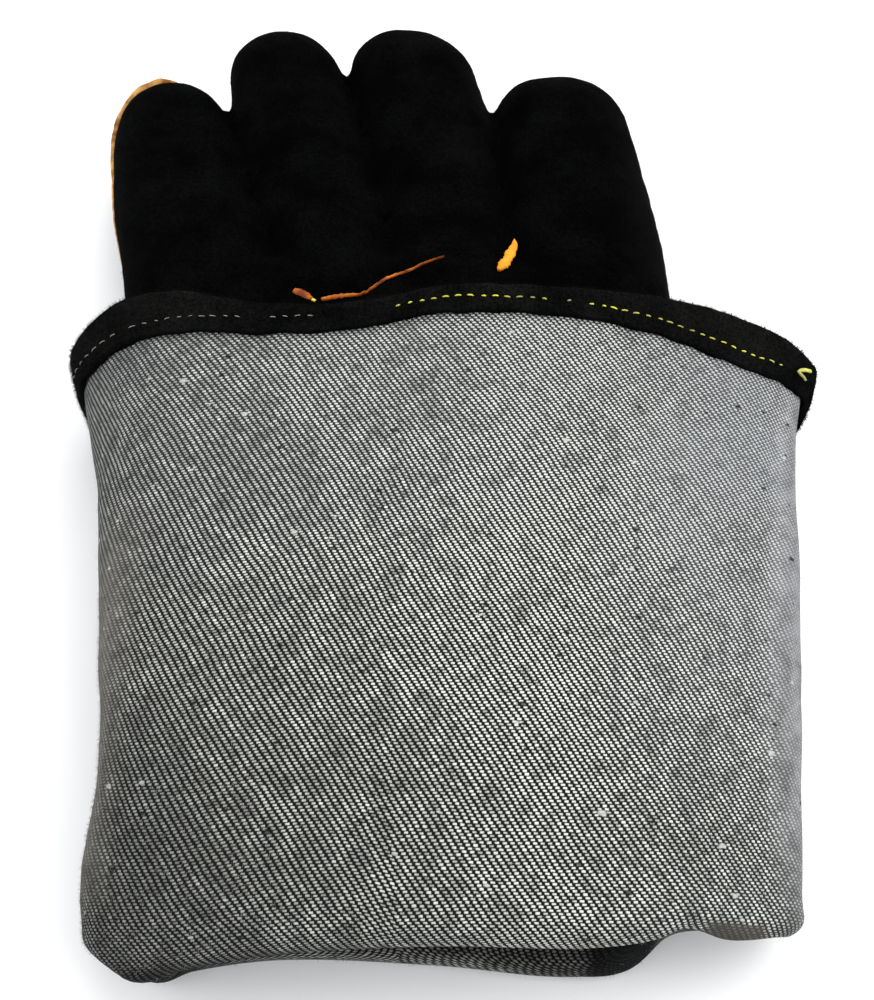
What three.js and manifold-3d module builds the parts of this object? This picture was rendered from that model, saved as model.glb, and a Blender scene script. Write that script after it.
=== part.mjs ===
// Heat resistant leather glove for a right hand, lying palm up on its back.
// The long cuff is turned inside out and folded back over the palm, so that its denim lining faces out.
// Millimetres, +Z up. The fingers point along +Y and the thumb lies on the +X side, under the cuff.

import * as THREE from 'three';
import { mergeVertices } from 'three/addons/utils/BufferGeometryUtils.js';
import Module from 'manifold-3d';

const wasm = await Module();
wasm.setup();

// Thickness of each leather and cloth
const HAND_LEATHER = 2.0;
const CUFF_LEATHER = 1.8;
const DENIM = 1.2;
const BINDING_LEATHER = 1.2;
const WELT_LEATHER = 1.2;
const GAP = 0.3;

// The cuff: its two layers together, the fold between them and the wrist seam where the hand begins
const CUFF_WALL = DENIM + GAP + CUFF_LEATHER;
const FACE_GAP = 1.5;
const FOLD_RADIUS = CUFF_WALL + FACE_GAP / 2;
const HAND_INSET = CUFF_WALL + FACE_GAP;
const WRIST = 24;

// Where the tables of the fold and the hem are read: a little in from the fold, near the hem and halfway
const NEAR_FOLD = 4;
const MID_CUFF = 75;
const NEAR_HEM = 140;

// The strip that binds the hem: how far its inner leg reaches back from the hem
const BINDING_INNER_LEG = 6;

// The fingers: the slit between two of them, the rounded length of a tip, where each tube starts in the palm
const FINGER_SLIT = 0.4;
const TIP_LENGTH = 18.5;
const FINGER_START = 118;
const FORK = 171;

// Beyond every outline of the glove, and how far a hollow runs on past an open end
const BEYOND = 130;
const BEYOND_TIPS = 280;
const ABOVE = 80;
const OPEN_END = 8;

// The welts: how proud they stand of the leather and how far the little finger's one rises at the tip
const WELT_PROUD = 0.9;
const SIDE_WELT_PROUD = 1.2;
const SIDE_WELT_START = 150;
const SIDE_WELT_END = -66;
const LITTLE_TIP_LIFT = 9;

// How much fuller than its resting height an underside is, before the floor flattens it
const SAG = 1.05;

// Facets round the cuff, the palm and a finger, and steps along the turned cuff
const CUFF_SIDES = 32;
const PALM_SIDES = 26;
const FINGER_SIDES = 14;
const FOLD_STEPS = 5;
const HEM_STEPS = 5;
const INNER_HEM_STEPS = 3;
const LEAF_STEPS = 12;
const INNER_STEPS = 1;
const SEAM_CLEARANCE = THREE.MathUtils.degToRad(3);
const TIP_STEPS = 4;
const INNER_TIP_STEPS = 3;

// The last ring of a tip stops this share of a step short of its point, and no other ring is closer than
// this to where the tip begins
const TIP_FLAT = 0.35;
const RING_SPACING = 4;

// A table of named columns, read between its rows along a smooth curve
function table(columns, rows) {
  const places = rows.map((row) => row[0]);
  const values = new Float64Array(rows.flatMap((row) => row.slice(1)));
  const curve = new THREE.CubicInterpolant(places, values, columns.length - 1);
  return (place) => {
    const found = curve.evaluate(place);
    return Object.fromEntries(columns.slice(1).map((name, index) => [name, found[index]]));
  };
}

const SECTION_COLUMNS = [
  'y', 'left', 'right', 'bottom', 'top', 'seam', 'crown', 'leftPower', 'rightPower', 'underPower',
];

// The turned cuff's outer face, from the fold to the hem
const cuffSection = table(SECTION_COLUMNS, [
  [-6, -69.0, 72.6, 0.0, 31, 11, -8, 2.8, 2.0, 5],
  [0, -71.3, 75.0, 0.0, 34, 12, -8, 2.9, 1.9, 5],
  [12, -72.8, 76.4, 0.0, 38, 13, -8, 3.4, 1.7, 5],
  [30, -71.0, 79.0, 0.0, 41, 14, -8, 4.4, 1.6, 5],
  [60, -74.4, 83.3, 0.0, 42, 15, -8, 4.4, 1.6, 5],
  [90, -79.3, 87.0, 0.0, 43, 17, -6, 3.8, 1.6, 5],
  [106, -83.2, 89.0, 0.0, 44, 17, -4, 3.4, 1.6, 5],
  [120, -87.0, 91.0, 1.5, 46, 18, -2, 3.2, 1.6, 5],
  [135, -91.0, 95.0, 1.5, 49, 19, 2, 2.9, 1.6, 5],
  [150, -95.0, 99.0, 1.5, 50, 19, 4, 2.8, 1.6, 5],
]);

// Where the fold and the hem lie, over the width, on the front and on the back of the cuff
const foldLine = table(['x', 'front', 'back'], [
  [-74, 0.5, 0.5],
  [-66, -7.0, -6.0],
  [-56, -5.5, -4.0],
  [-36, -3.0, -1.8],
  [0, -1.5, -2.8],
  [32, -1.5, -5.0],
  [44, 0.0, -3.5],
  [51, 2.2, 2.5],
  [62, 0.4, 4.0],
  [77, 2.0, 2.0],
]);
// The binding is rolled over unevenly, so that more of its outer leg shows at the sides
const hemLine = table(['x', 'front', 'back', 'leg'], [
  [-90, 136.0, 133.0, 9.4],
  [-76, 143.0, 131.0, 9.2],
  [-62, 141.2, 130.0, 8.4],
  [-50, 137.6, 129.0, 7.0],
  [-30, 135.0, 131.0, 6.2],
  [0, 138.5, 132.0, 6.2],
  [36, 139.6, 131.0, 7.2],
  [50, 141.2, 130.0, 8.6],
  [64, 142.2, 129.0, 9.5],
  [76, 142.2, 128.0, 9.8],
  [94, 135.5, 131.5, 9.5],
]);

// The hand from the wrist to the finger forks
function insetRow(y, row, inset) {
  const { left, right, bottom, top, seam, crown, leftPower, rightPower, underPower } = row;
  return [
    y, left + inset, right - inset, bottom + inset, top - inset, seam, crown,
    leftPower, rightPower, underPower,
  ];
}
const palmSection = table(SECTION_COLUMNS, [
  insetRow(WRIST, cuffSection(WRIST), HAND_INSET),
  [45, -67.0, 70.0, 4.9, 36.0, 15, -8, 4.0, 1.8, 4.5],
  [70, -70.6, 63.0, 5.0, 36.0, 16, -8, 3.6, 2.1, 4.0],
  [90, -74.2, 57.5, 5.2, 36.0, 17, -8, 3.2, 2.4, 4.0],
  [120, -79.8, 57.0, 7.2, 37.0, 19, -8, 3.0, 2.6, 4.0],
  [145, -81.8, 60.5, 7.4, 37.0, 20, -8, 3.0, 2.6, 4.0],
  [160, -83.0, 61.0, 6.0, 34.0, 19, -8, 3.0, 2.6, 4.0],
  [167, -83.0, 60.0, 8.5, 30.0, 19, -8, 3.0, 2.6, 3.0],
  [FORK, -80.0, 57.0, 14.0, 24.0, 19, -8, 3.0, 2.6, 3.0],
]);

// Where the sides of the four fingers run, from the little finger's outer side to the index finger's
const fingerSides = table(['y', 'littleSide', 'littleRing', 'ringMiddle', 'middleIndex', 'indexSide'], [
  [118, -77.5, -34.0, -11.0, 17.0, 56.0],
  [150, -81.5, -35.5, -12.0, 19.0, 61.4],
  [168, -84.8, -42.2, -12.2, 18.9, 62.2],
  [185, -89.5, -48.9, -14.5, 18.4, 61.2],
  [205, -93.5, -54.6, -18.6, 17.5, 59.4],
  [224, -96.0, -60.2, -23.0, 16.4, 57.0],
  [244, -97.0, -64.6, -27.2, 13.4, 54.0],
  [266, -97.0, -66.5, -31.0, 9.5, 51.0],
]);
const fingerHeight = table(['y', 'bottom', 'top'], [
  [118, 10.0, 33.0],
  [150, 6.5, 37.5],
  [172, 2.0, 36.0],
  [200, 0.2, 33.5],
  [230, 0.0, 32.0],
  [266, 0.0, 31.5],
]);
const FINGERS = {
  little: { left: 'littleSide', right: 'littleRing', tip: 240.0 },
  ring: { left: 'littleRing', right: 'ringMiddle', tip: 262.8 },
  middle: { left: 'ringMiddle', right: 'middleIndex', tip: 263.6 },
  index: { left: 'middleIndex', right: 'indexSide', tip: 242.3 },
};

// The thumb beside the palm
const THUMB_START = 48;
const THUMB_TIP = 131;
const thumbSection = table(['y', 'left', 'right', 'bottom', 'top'], [
  [THUMB_START, 36.0, 58.0, 9.0, 23.0],
  [65, 44.0, 67.0, 7.0, 25.0],
  [85, 53.5, 74.0, 6.0, 25.0],
  [105, 59.0, 78.5, 5.8, 24.5],
  [THUMB_TIP, 60.5, 81.0, 7.0, 25.0],
]);

// The height at which the palm side and the back of the hand are sewn together
const handSeam = table(['y', 'height'], [
  [WRIST, 14],
  [70, 16],
  [120, 19],
  [150, 20],
  [172, 19],
  [200, 17],
  [266, 16],
]);
function seamHeight(x, y) {
  const onLittleFinger = 1 - THREE.MathUtils.smoothstep(x, -70, -60);
  const nearTip = THREE.MathUtils.smoothstep(y, 196, 236);
  return handSeam(y).height + LITTLE_TIP_LIFT * onLittleFinger * nearTip;
}

// The seam across the foot of the two middle fingers, whose palm side is a piece of its own
const FRONT_SEAM = [
  [-35.5, 151.5],
  [-28.8, 148.0],
  [-19.0, 149.5],
  [-13.2, 156.5],
  [-7.0, 160.0],
  [1.3, 162.0],
  [10.0, 161.0],
  [19.0, 159.0],
];
const FRONT_SIDE_STEPS = [175, 190, 208, 226, 245, 268];
const SEAM_WELT_END = 13.6;

// A point on a flattened tube's outline, set in on every side: crowned above, flat where it rests
function sectionPoint(row, inset, angle) {
  const across = Math.cos(angle);
  const up = Math.sin(angle);
  const halfWidth = (across < 0 ? row.crown - row.left : row.right - row.crown) - inset;
  const upperPower = across < 0 ? row.leftPower : row.rightPower;
  const power = 2 / (up < 0 ? row.underPower : upperPower);
  const x = row.crown + Math.sign(across) * halfWidth * Math.abs(across) ** power;
  const reach = Math.abs(up) ** power;
  const rise = (row.top - inset - row.seam) * reach;
  const drop = (row.seam - row.bottom - inset) * reach * SAG;
  const lowest = Math.max(row.bottom + inset, 0);
  const z = up < 0 ? Math.max(row.seam - drop, lowest) : row.seam + rise;
  return new THREE.Vector2(x, z);
}

// Angles that step evenly round an outline, to half a degree
const FINE_STEPS = 720;

function evenAngles(row, count) {
  const fine = Array.from({ length: FINE_STEPS + 1 }, (_, index) => (index / FINE_STEPS) * 2 * Math.PI);
  const points = fine.map((angle) => sectionPoint(row, 0, angle));
  const reached = [0];
  for (let index = 1; index < points.length; index += 1) {
    reached.push(reached[index - 1] + points[index].distanceTo(points[index - 1]));
  }
  const total = reached[reached.length - 1];
  return Array.from({ length: count }, (_, step) => {
    const index = reached.findIndex((length) => length >= (step / count) * total);
    return fine[index];
  });
}

// A surface through rows of points, closed across the rows and, for a ring, also along them.
// Past mirrorFrom the quads are split the other way, so that two walls that face each other match.
// An open end is closed by a fan round its middle, or, where each row runs out along one face of a wall and
// back along the other, by a strip between the two.
function skin(rows, isRing, mirrorFrom = Infinity, isWall = false) {
  const count = rows[0].length;
  const points = rows.flat();
  const faces = [];
  const last = isRing ? rows.length : rows.length - 1;
  for (let row = 0; row < last; row += 1) {
    const next = (row + 1) % rows.length;
    for (let step = 0; step < count; step += 1) {
      const after = (step + 1) % count;
      const [a, b] = [row * count + step, next * count + step];
      const [c, d] = [next * count + after, row * count + after];
      faces.push(...(step < mirrorFrom ? [a, b, c, a, c, d] : [a, b, d, b, c, d]));
    }
  }
  if (!isRing && isWall) {
    const end = points.length - count;
    for (let step = 0; step < count / 2 - 1; step += 1) {
      const [a, b, c, d] = [step, step + 1, count - 2 - step, count - 1 - step];
      faces.push(d, a, b, d, b, c);
      faces.push(end + d, end + b, end + a, end + d, end + c, end + b);
    }
  } else if (!isRing) {
    const end = points.length - count;
    const middle = (start) => {
      const ring = points.slice(start, start + count);
      return ring.reduce((sum, point) => sum.add(point), new THREE.Vector3()).divideScalar(count);
    };
    points.push(middle(0), middle(end));
    for (let step = 0; step < count; step += 1) {
      const after = (step + 1) % count;
      faces.push(points.length - 2, step, after);
      faces.push(points.length - 1, end + after, end + step);
    }
  }
  const geometry = new THREE.BufferGeometry().setFromPoints(points);
  geometry.setIndex(faces);
  return geometry;
}

// A closed geometry as a solid that can be joined and cut, and back
function toSolid(geometry) {
  const bare = geometry.clone();
  bare.deleteAttribute('normal');
  bare.deleteAttribute('uv');
  const merged = mergeVertices(bare);
  const vertProperties = Float32Array.from(merged.attributes.position.array);
  const triVerts = Uint32Array.from(merged.index.array);
  return new wasm.Manifold(new wasm.Mesh({ numProp: 3, vertProperties, triVerts }));
}
function toGeometry(solid) {
  const { vertProperties, triVerts } = solid.getMesh();
  const geometry = new THREE.BufferGeometry();
  geometry.setAttribute('position', new THREE.BufferAttribute(vertProperties, 3));
  geometry.setIndex(new THREE.BufferAttribute(triVerts, 1));
  geometry.computeVertexNormals();
  return geometry;
}

// The cuff's two layers: each runs from the hem to the fold, turns in and runs back to the wrist seam
const OUTER_SHARES = [0, 0.075, 0.2, 0.36, 0.54, 0.72, 0.88];
const cuffAngles = evenAngles(cuffSection(MID_CUFF), CUFF_SIDES);

function lineAt(line, y, angle) {
  const { x } = sectionPoint(cuffSection(y), 0, angle);
  const { front, back, leg } = line(x);
  return { edge: Math.sin(angle) < 0 ? back : front, leg };
}
function turnedPath(depth, angle) {
  const fold = lineAt(foldLine, NEAR_FOLD, angle).edge + FOLD_RADIUS;
  const hem = lineAt(hemLine, NEAR_HEM, angle).edge;
  const path = [];
  for (const share of OUTER_SHARES) {
    const y = THREE.MathUtils.lerp(hem, fold, share);
    path.push({ y, at: y, inset: depth });
  }
  for (let step = 0; step <= FOLD_STEPS; step += 1) {
    const turn = (step / FOLD_STEPS) * Math.PI;
    const radius = FOLD_RADIUS - depth;
    path.push({
      y: fold - radius * Math.sin(turn),
      at: fold - FOLD_RADIUS * Math.sin(turn),
      inset: FOLD_RADIUS - radius * Math.cos(turn),
    });
  }
  for (let step = 1; step <= INNER_STEPS; step += 1) {
    const y = THREE.MathUtils.lerp(fold, WRIST - GAP / 2, step / INNER_STEPS);
    path.push({ y, at: y, inset: 2 * FOLD_RADIUS - depth });
  }
  return path;
}
function placeProfile(profile, angle) {
  return profile.map(({ y, at, inset }) => {
    const { x, y: z } = sectionPoint(cuffSection(at), inset, angle);
    return new THREE.Vector3(x, y, z);
  });
}
// A layer is sewn from a front and a back, which meet in the cuff's two side seams
function cuffLayer(outerDepth, thickness, isFront) {
  const within = (angle) => Math.sin(angle) * (isFront ? 1 : -1) > Math.sin(SEAM_CLEARANCE);
  const seams = isFront ? [0, Math.PI] : [Math.PI, 2 * Math.PI];
  const angles = [seams[0], ...cuffAngles.filter(within), seams[1]];
  const shift = new THREE.Vector3(0, 0, (isFront ? GAP : -GAP) / 2);
  const rows = angles.map((angle) => {
    const outside = turnedPath(outerDepth, angle);
    const inside = turnedPath(outerDepth + thickness, angle).reverse();
    const placed = placeProfile([...outside, ...inside], angle);
    return seams.includes(angle) ? placed.map((point) => point.add(shift)) : placed;
  });
  return skin(rows, false, rows[0].length / 2, true);
}

// The strip folded round the hem, with a rounded edge
function hemBinding() {
  const middle = CUFF_WALL / 2;
  const outerRadius = middle + GAP + BINDING_LEATHER;
  const innerRadius = middle + GAP;
  const arc = (radius, steps) => Array.from({ length: steps + 1 }, (_, step) => {
    const turn = (step / steps) * Math.PI;
    return { y: radius * Math.sin(turn), inset: middle - radius * Math.cos(turn) };
  });
  const profile = (leg) => [
    { y: -leg, inset: -GAP },
    { y: -leg, inset: -GAP - BINDING_LEATHER },
    ...arc(outerRadius, HEM_STEPS),
    { y: -BINDING_INNER_LEG, inset: middle + outerRadius },
    { y: -BINDING_INNER_LEG, inset: middle + innerRadius },
    ...arc(innerRadius, INNER_HEM_STEPS).reverse(),
  ];
  const rows = cuffAngles.map((angle) => {
    const { edge, leg } = lineAt(hemLine, NEAR_HEM, angle);
    const placed = profile(leg).map(({ y, inset }) => ({ y: edge + y, at: edge + Math.min(y, 0), inset }));
    return placeProfile(placed, angle);
  });
  return skin(rows.reverse(), true);
}

// The hand's solid forms, set in by a given amount: its palm, its four fingers and its thumb
const PALM_STEPS = [WRIST + GAP / 2, 45, 68, 90, 118, 145, 160, 166, 169.5, FORK];

function palmForm(inset) {
  const angles = evenAngles(palmSection(MID_CUFF), PALM_SIDES);
  const start = inset > 0 ? [WRIST - OPEN_END] : [];
  const rows = [...start, ...PALM_STEPS].map((step) => {
    const y = Math.min(step, FORK - inset);
    return angles.map((angle) => {
      const { x, y: z } = sectionPoint(palmSection(y), inset, angle);
      return new THREE.Vector3(x, y, z);
    });
  });
  return skin(rows, false);
}

const FINGER_STEPS = [FINGER_START, 150, 168, 187, 205, 224];
const INNER_FINGER_STEPS = [FINGER_START, 150, 168, 205];
const THUMB_STEPS = [THUMB_START, 58, 68, 80, 94];

// A finger narrows and thins to its tip along a rounded curve
const TIP_POWER = 2.3;
const FINGER_POWER = 2.3;

function tubeForm(stations, tip, rowAt, inset) {
  const tipStart = tip - TIP_LENGTH;
  const tipLength = TIP_LENGTH - inset;
  const tipSteps = inset > 0 ? INNER_TIP_STEPS : TIP_STEPS;
  const turn = Math.PI / 2 / (tipSteps + TIP_FLAT);
  const turns = Array.from({ length: tipSteps }, (_, step) => (step + 1) * turn);
  const places = [...stations.filter((y) => y < tipStart - RING_SPACING), tipStart];
  places.push(...turns.map((reach) => tipStart + tipLength * Math.sin(reach) ** (2 / TIP_POWER)));
  const rows = places.map((y) => {
    const { left, right, bottom, top } = rowAt(y);
    const share = Math.max((y - tipStart) / tipLength, 0);
    const narrowed = (1 - share ** TIP_POWER) ** (1 / TIP_POWER);
    const [middleX, middleZ] = [(left + right) / 2, (bottom + top) / 2];
    const halfWidth = ((right - left) / 2 - inset) * narrowed;
    const halfHeight = ((top - bottom) / 2 - inset) * narrowed;
    const row = {
      left: middleX - halfWidth,
      right: middleX + halfWidth,
      bottom: middleZ - halfHeight,
      top: middleZ + halfHeight,
      seam: middleZ,
      crown: middleX,
      leftPower: FINGER_POWER,
      rightPower: FINGER_POWER,
      underPower: FINGER_POWER,
    };
    return Array.from({ length: FINGER_SIDES }, (_, step) => {
      const { x, y: z } = sectionPoint(row, 0, (step / FINGER_SIDES) * 2 * Math.PI);
      return new THREE.Vector3(x, y, z);
    });
  });
  return skin(rows, false);
}
function fingerForm({ left, right, tip }, inset) {
  const rowAt = (y) => {
    const sides = fingerSides(y);
    const slit = FINGER_SLIT / 2;
    return { left: sides[left] + slit, right: sides[right] - slit, ...fingerHeight(y) };
  };
  return tubeForm(inset > 0 ? INNER_FINGER_STEPS : FINGER_STEPS, tip, rowAt, inset);
}
function thumbForm(inset) {
  return toSolid(tubeForm(THUMB_STEPS, THUMB_TIP, thumbSection, inset));
}
function handForm(inset) {
  const fingers = Object.values(FINGERS).map((finger) => toSolid(fingerForm(finger, inset)));
  return fingers.reduce((whole, finger) => whole.add(finger), toSolid(palmForm(inset)));
}

// A block between two distances above the hand's side seam
const SEAM_BLOCK_SIDES = [-BEYOND, -70, -60, BEYOND];
const SEAM_BLOCK_STEPS = 10;

function seamBlock(from, to) {
  const spans = SEAM_BLOCK_SIDES.length - 1;
  const block = new THREE.BoxGeometry(spans, BEYOND_TIPS, to - from, spans, SEAM_BLOCK_STEPS, 1);
  block.translate(spans / 2, BEYOND_TIPS / 2, (from + to) / 2);
  const places = block.attributes.position;
  for (let index = 0; index < places.count; index += 1) {
    const x = SEAM_BLOCK_SIDES[Math.round(places.getX(index))];
    const lift = seamHeight(x, places.getY(index));
    places.setX(index, x);
    places.setZ(index, places.getZ(index) + lift);
  }
  return toSolid(block);
}

// The ground that the middle fingers' front piece covers, grown at its lower seam and at its sides
function frontRegion(grow, sideShift) {
  const seam = FRONT_SEAM.map(([x, y]) => [x, y - grow]);
  const up = FRONT_SIDE_STEPS.map((y) => [fingerSides(y).middleIndex + sideShift, y]);
  const down = FRONT_SIDE_STEPS.map((y) => [fingerSides(y).littleRing - sideShift, y]).reverse();
  seam[0][0] -= sideShift;
  seam[seam.length - 1][0] += sideShift;
  const shape = new THREE.Shape([...seam, ...up, ...down].map(([x, y]) => new THREE.Vector2(x, y)));
  return toSolid(new THREE.ExtrudeGeometry(shape, { depth: ABOVE, bevelEnabled: false }));
}

function boxSolid(from, to) {
  const size = new THREE.Vector3().subVectors(to, from);
  const box = new THREE.BoxGeometry(size.x, size.y, size.z);
  const middle = new THREE.Vector3().addVectors(from, to).multiplyScalar(0.5);
  return toSolid(box.translate(middle.x, middle.y, middle.z));
}

const outerHand = handForm(0);
const innerHand = handForm(HAND_LEATHER);
const innerThumb = thumbForm(HAND_LEATHER);
const handShell = outerHand.subtract(innerHand).subtract(innerThumb);

// The welt on the little finger's outer side seam, from under the hem to past the tip
const sideWeltReach = boxSolid(
  new THREE.Vector3(-BEYOND, SIDE_WELT_START, 0),
  new THREE.Vector3(SIDE_WELT_END, BEYOND_TIPS, ABOVE),
);
function sideWelt() {
  const little = toSolid(fingerForm(FINGERS.little, -SIDE_WELT_PROUD));
  const strip = seamBlock(-WELT_LEATHER / 2, WELT_LEATHER / 2).intersect(sideWeltReach);
  return little.subtract(innerHand).intersect(strip);
}
const sideWeltSlot = seamBlock(-WELT_LEATHER / 2 - GAP, WELT_LEATHER / 2 + GAP).intersect(
  sideWeltReach,
);

// The palm side and the back, and the middle fingers' front with the welt in the seam below it
const palmSide = handShell.intersect(seamBlock(GAP / 2, ABOVE)).subtract(sideWeltSlot);
const backSide = handShell.intersect(seamBlock(-ABOVE, -GAP / 2)).subtract(sideWeltSlot);
const frontPiece = palmSide.intersect(frontRegion(-GAP / 2, -GAP / 2));
const palmPiece = palmSide.subtract(frontRegion(WELT_LEATHER + 1.5 * GAP, GAP / 2));

// Each finger is parted from the hand at the forks, and the two middle fingers' fronts between them
const upToForks = boxSolid(
  new THREE.Vector3(-BEYOND, 0, 0),
  new THREE.Vector3(BEYOND, FORK + FINGER_SLIT, ABOVE),
);
const pastForks = boxSolid(
  new THREE.Vector3(-BEYOND, FORK + FINGER_SLIT + GAP, 0),
  new THREE.Vector3(BEYOND, BEYOND_TIPS, ABOVE),
);
const betweenFronts = boxSolid(
  new THREE.Vector3(fingerSides(FORK).ringMiddle - GAP / 2, FINGER_START, 0),
  new THREE.Vector3(fingerSides(FORK).ringMiddle + GAP / 2, FORK + FINGER_SLIT, ABOVE),
);
// The separate solids of one cut, from the little finger's side to the index finger's
function inOrder(solid) {
  const side = (piece) => piece.boundingBox().min[0];
  return solid.decompose().sort((one, other) => side(one) - side(other));
}
const [littleBack, ringBack, middleBack, indexBack] = inOrder(backSide.intersect(pastForks));
const [littleFront, indexFront] = inOrder(palmPiece.intersect(pastForks));
const [ringFront, middleFront] = inOrder(frontPiece.subtract(betweenFronts));

function seamWelt() {
  const strip = frontRegion(WELT_LEATHER + GAP / 2, -GAP / 2).subtract(frontRegion(GAP / 2, GAP / 2));
  const reach = boxSolid(
    new THREE.Vector3(-BEYOND, FINGER_START, 0),
    new THREE.Vector3(SEAM_WELT_END, BEYOND_TIPS, ABOVE),
  );
  const proud = handForm(-WELT_PROUD).subtract(innerHand);
  return proud.intersect(strip).intersect(reach).intersect(seamBlock(HAND_LEATHER, ABOVE));
}

// The loose end of the welt, a leaf that stands in the fork between the middle and index fingers
const FORK_TAB = { x: 18, y: 164.5, length: 11.5, width: 3.2, lean: -0.33, bottom: 24, top: 36.8 };

function forkWelt() {
  const { x, y, length, width, lean, bottom, top } = FORK_TAB;
  const leaf = new THREE.Shape();
  leaf.absellipse(0, 0, width / 2, length / 2, 0, 2 * Math.PI);
  const options = { depth: top - bottom, bevelEnabled: false, curveSegments: LEAF_STEPS };
  const solid = new THREE.ExtrudeGeometry(leaf, options);
  solid.rotateZ(lean);
  solid.translate(x, y, bottom);
  return toSolid(solid).subtract(handForm(-GAP));
}

const thumbPiece = thumbForm(0).subtract(innerThumb).subtract(toSolid(palmForm(-GAP)));

// Split leather is dull and black, the welts are bright orange leather and the lining is grey denim
const SUEDE = { color: 0x141414, roughness: 0.95, metalness: 0 };
const WELT = { color: 0xd47a22, roughness: 0.8, metalness: 0 };
const LINING = { color: 0x9a9b98, roughness: 0.95, metalness: 0 };
const STRIP = { color: 0x1b1b1b, roughness: 0.85, metalness: 0 };

const pieces = [
  ['palm_leather', toGeometry(palmPiece.intersect(upToForks)), SUEDE],
  ['back_leather', toGeometry(backSide.intersect(upToForks)), SUEDE],
  ['little_finger_front', toGeometry(littleFront), SUEDE],
  ['ring_finger_front', toGeometry(ringFront), SUEDE],
  ['middle_finger_front', toGeometry(middleFront), SUEDE],
  ['index_finger_front', toGeometry(indexFront), SUEDE],
  ['little_finger_back', toGeometry(littleBack), SUEDE],
  ['ring_finger_back', toGeometry(ringBack), SUEDE],
  ['middle_finger_back', toGeometry(middleBack), SUEDE],
  ['index_finger_back', toGeometry(indexBack), SUEDE],
  ['thumb_leather', toGeometry(thumbPiece), SUEDE],
  ['little_finger_welt', toGeometry(sideWelt()), WELT],
  ['middle_fingers_welt', toGeometry(seamWelt()), WELT],
  ['fork_welt', toGeometry(forkWelt()), WELT],
  ['cuff_leather_front', cuffLayer(DENIM + GAP, CUFF_LEATHER, true), SUEDE],
  ['cuff_leather_back', cuffLayer(DENIM + GAP, CUFF_LEATHER, false), SUEDE],
  ['denim_lining_front', cuffLayer(0, DENIM, true), LINING],
  ['denim_lining_back', cuffLayer(0, DENIM, false), LINING],
  ['hem_binding', hemBinding(), STRIP],
];

const glove = new THREE.Group();
for (const [name, geometry, look] of pieces) {
  const mesh = new THREE.Mesh(geometry, new THREE.MeshStandardMaterial(look));
  mesh.name = name;
  glove.add(mesh);
}

// The origin is the middle of the glove's footprint, on the surface that it lies on
const box = new THREE.Box3().setFromObject(glove);
const centre = box.getCenter(new THREE.Vector3());
glove.position.set(-centre.x, -centre.y, -box.min.z);

const part = new THREE.Group();
part.add(glove);

export default part;
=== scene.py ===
"""A black split leather glove whose denim lined cuff is turned back over the hand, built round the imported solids."""

import math

import bmesh
import bpy
import numpy as np
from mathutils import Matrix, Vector, noise
from mathutils.bvhtree import BVHTree


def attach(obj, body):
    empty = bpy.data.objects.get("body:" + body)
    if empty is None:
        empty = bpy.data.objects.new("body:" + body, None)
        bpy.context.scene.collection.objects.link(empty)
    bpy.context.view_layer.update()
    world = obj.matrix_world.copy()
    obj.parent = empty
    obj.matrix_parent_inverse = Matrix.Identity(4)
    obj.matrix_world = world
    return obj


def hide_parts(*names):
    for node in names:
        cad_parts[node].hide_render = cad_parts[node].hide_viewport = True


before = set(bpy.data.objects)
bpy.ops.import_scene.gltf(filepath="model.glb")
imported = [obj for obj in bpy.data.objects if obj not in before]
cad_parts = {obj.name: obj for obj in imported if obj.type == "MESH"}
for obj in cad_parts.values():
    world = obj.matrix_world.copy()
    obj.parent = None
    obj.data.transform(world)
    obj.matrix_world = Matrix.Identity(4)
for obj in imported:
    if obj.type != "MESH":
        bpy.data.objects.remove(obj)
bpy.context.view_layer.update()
bpy.ops.object.select_all(action="DESELECT")


# The studio: a pale matt table top under a large soft lamp beyond the fingers and a weaker one on either side.
# The camera looks down at 62 degrees from 0.25 m above the table, as the photograph was taken.

def linear(code):
    """An sRGB hex value as the linear colour that a shader takes."""
    parts = [int(code[index:index + 2], 16) / 255 for index in (1, 3, 5)]
    curved = [part / 12.92 if part <= 0.04045 else ((part + 0.055) / 1.055) ** 2.4 for part in parts]
    return (*curved, 1.0)


def add(tree, kind, inputs=(), **settings):
    """Adds a shader node with its settings. An input takes a value, an output, or a node for its first output."""
    made = tree.nodes.new("ShaderNode" + kind)
    for name, value in settings.items():
        setattr(made, name, value)
    for key, value in inputs.items() if isinstance(inputs, dict) else enumerate(inputs):
        if isinstance(value, bpy.types.Node):
            value = next(socket for socket in value.outputs if socket.enabled)
        if isinstance(value, bpy.types.NodeSocket):
            tree.links.new(value, made.inputs[key])
        else:
            made.inputs[key].default_value = value
    return made


def new_material(name):
    """An empty material, its tree and its output node."""
    material = bpy.data.materials.new(name)
    material.use_nodes = True
    material.node_tree.nodes.clear()
    return material, material.node_tree, add(material.node_tree, "OutputMaterial")


table_top, tree, output = new_material("matt_white_table_top")
shade = add(tree, "BsdfPrincipled", {"Base Color": linear("#f2f2f0"), "Roughness": 0.9})
tree.links.new(shade.outputs[0], output.inputs["Surface"])

bpy.ops.mesh.primitive_plane_add(size=6, location=(0, 0, 0))
floor = bpy.context.object
floor.name = "table_top"
floor.data.materials.append(table_top)

scene = bpy.context.scene
if scene.world is None:
    scene.world = bpy.data.worlds.new("soft_room")
scene.world.use_nodes = True
scene.world.node_tree.nodes["Background"].inputs["Color"].default_value = linear("#f6f8ff")
scene.world.node_tree.nodes["Background"].inputs["Strength"].default_value = 0.76

# Black suede stays black and the white table top stays white only where the tones aren't compressed
scene.view_settings.view_transform = "Standard"

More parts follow.
